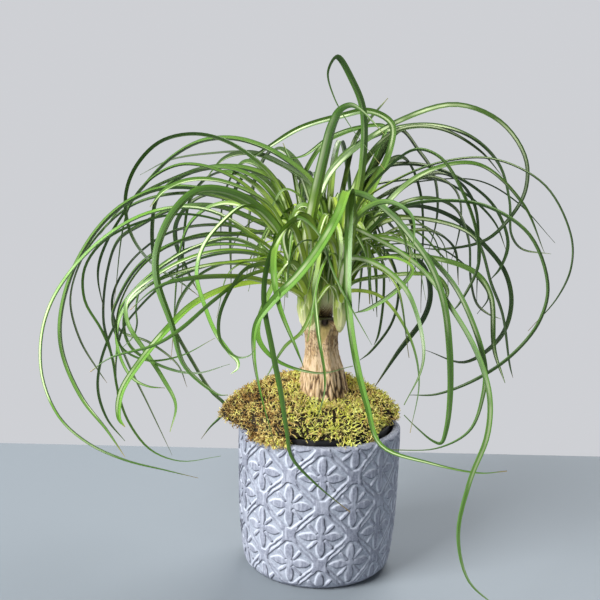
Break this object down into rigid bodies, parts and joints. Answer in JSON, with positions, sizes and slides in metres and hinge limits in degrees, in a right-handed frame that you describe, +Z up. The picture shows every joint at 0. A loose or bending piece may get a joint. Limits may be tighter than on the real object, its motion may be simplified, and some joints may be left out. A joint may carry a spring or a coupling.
{
  "type": "potted ponytail palm",
  "caption": "Short-stemmed ponytail palm with long arching strap leaves, in moss in a round relief-patterned cover pot.",
  "frame": {"origin": "middle of the cover pot's flat foot, where it stands", "axes": "+Z up along the pot's axis, -Y towards the front of the plant, +X to its right seen from the front"},
  "size_m": [0.5259, 0.4124, 0.5014],
  "materials": {
    "cover_pot": "matt grey-blue ware, whitewashed in the hollows of its relief",
    "nursery_pot": "thin black moulded plastic",
    "potting_soil": "dark moist peat and bark compost",
    "moss": "dry springy moss, yellow-green to olive brown",
    "bark": "tan bark, fissured at the foot and netted above",
    "leaf": "smooth leathery green blade, pale at the foot"
  },
  "bodies": {
    "root": {"cover_pot": "cover_pot", "nursery_pot": "nursery_pot", "potting_soil": "potting_soil", "moss": "moss", "trunk": "bark", "leaf_crown": "leaf"}
  },
  "joints": []
}
